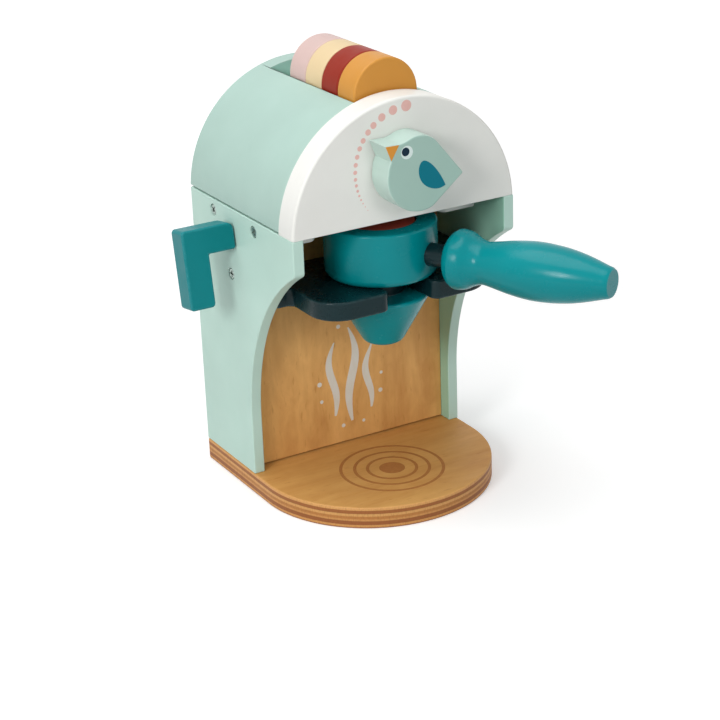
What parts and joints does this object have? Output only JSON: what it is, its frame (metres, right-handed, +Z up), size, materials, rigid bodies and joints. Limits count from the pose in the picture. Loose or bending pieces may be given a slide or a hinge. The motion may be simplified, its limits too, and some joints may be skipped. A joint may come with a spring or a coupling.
{
  "type": "toy coffee maker",
  "caption": "Wooden toy coffee machine with a round hood, a slot of discs, a bird dial, a side lever, and a handled cup that hangs in a fork over a round-fronted base.",
  "frame": {"origin": "on the underside of the base, in the middle plane, straight below the front plate's face", "axes": "+X to the right seen from the front, +Y from the front to the back, +Z up"},
  "size_m": [0.1903, 0.236, 0.2749],
  "materials": {
    "natural_ply": "clear-lacquered birch plywood, satin",
    "mint_paint": "painted plywood, satin mint",
    "white_paint": "painted plywood, satin white",
    "navy_paint": "painted wood, satin dark navy",
    "teal_paint": "painted turned wood, semi-gloss teal",
    "bird_paint": "painted wood, satin sage with printed details",
    "coral_paint": "painted wood, satin coral red",
    "orange_paint": "painted wood, satin ochre",
    "russet_paint": "painted wood, satin brick red",
    "cream_paint": "painted wood, satin pale yellow",
    "blush_paint": "painted wood, satin pale pink",
    "beech": "bare beech, sanded",
    "steel": "zinc-plated screw steel"
  },
  "bodies": {
    "machine": {"base_board": "natural_ply", "left_side_panel": "mint_paint", "right_side_panel": "mint_paint", "back_panel": "natural_ply", "hood_floor": "white_paint", "front_plate": "white_paint", "hood_shell": "mint_paint", "hood_rear_plate": "mint_paint", "tray_floor": "mint_paint", "tray_wall_left": "mint_paint", "tray_wall_right": "mint_paint", "holder_shelf": "navy_paint", "lever_nail": "steel", "screw_left_front": "steel", "screw_left_rear": "steel", "screw_left_back": "steel", "screw_right_front": "steel", "screw_right_rear": "steel", "screw_right_back": "steel", "base_screw_left_front": "steel", "base_screw_left_rear": "steel", "base_screw_left_middle": "steel", "base_screw_right_front": "steel", "base_screw_right_rear": "steel", "base_screw_right_middle": "steel", "shelf_screw_left": "steel", "shelf_screw_right": "steel"},
    "dial": {"bird_knob": "bird_paint", "dial_axle": "beech", "dial_retainer": "beech"},
    "side_lever": {"lever": "teal_paint", "lever_axle": "beech"},
    "neck_slider": {"cup_neck": "navy_paint"},
    "handled_cup": {"cup": "teal_paint", "cup_spout": "teal_paint", "handle_rod": "navy_paint", "handle_grip": "teal_paint"},
    "coral_capsule": {"cup_capsule": "coral_paint"},
    "ochre_capsule": {"capsule_1": "orange_paint"},
    "red_capsule": {"capsule_2": "russet_paint"},
    "yellow_capsule": {"capsule_3": "cream_paint"},
    "pink_capsule": {"capsule_4": "blush_paint"}
  },
  "joints": [
    {"name": "dial_turn", "type": "hinge", "parent": "machine", "child": "dial", "pos_m": [0, 0, 0.21531], "axis": [0, 1, 0], "continuous": true},
    {"name": "lever_turn", "type": "hinge", "parent": "machine", "child": "side_lever", "pos_m": [-0.0764, 0.079, 0.165], "axis": [1, 0, 0], "continuous": true},
    {"name": "cup_slide", "type": "slide", "parent": "machine", "child": "neck_slider", "axis": [0, -1, 0], "range_m": [0, 0.07]},
    {"name": "cup_swivel", "type": "hinge", "parent": "neck_slider", "child": "handled_cup", "pos_m": [0, 0.0307, 0.1429], "axis": [0, 0, 1], "range_deg": [-66, 8]},
    {"name": "coral_capsule_lift", "type": "slide", "parent": "handled_cup", "child": "coral_capsule", "axis": [0, 0, 1], "range_m": [0, 0.009]},
    {"name": "ochre_capsule_lift", "type": "slide", "parent": "machine", "child": "ochre_capsule", "axis": [0, 0, 1], "range_m": [0, 0.06]},
    {"name": "red_capsule_lift", "type": "slide", "parent": "machine", "child": "red_capsule", "axis": [0, 0, 1], "range_m": [0, 0.06]},
    {"name": "yellow_capsule_lift", "type": "slide", "parent": "machine", "child": "yellow_capsule", "axis": [0, 0, 1], "range_m": [0, 0.06]},
    {"name": "pink_capsule_lift", "type": "slide", "parent": "machine", "child": "pink_capsule", "axis": [0, 0, 1], "range_m": [0, 0.06]}
  ]
}
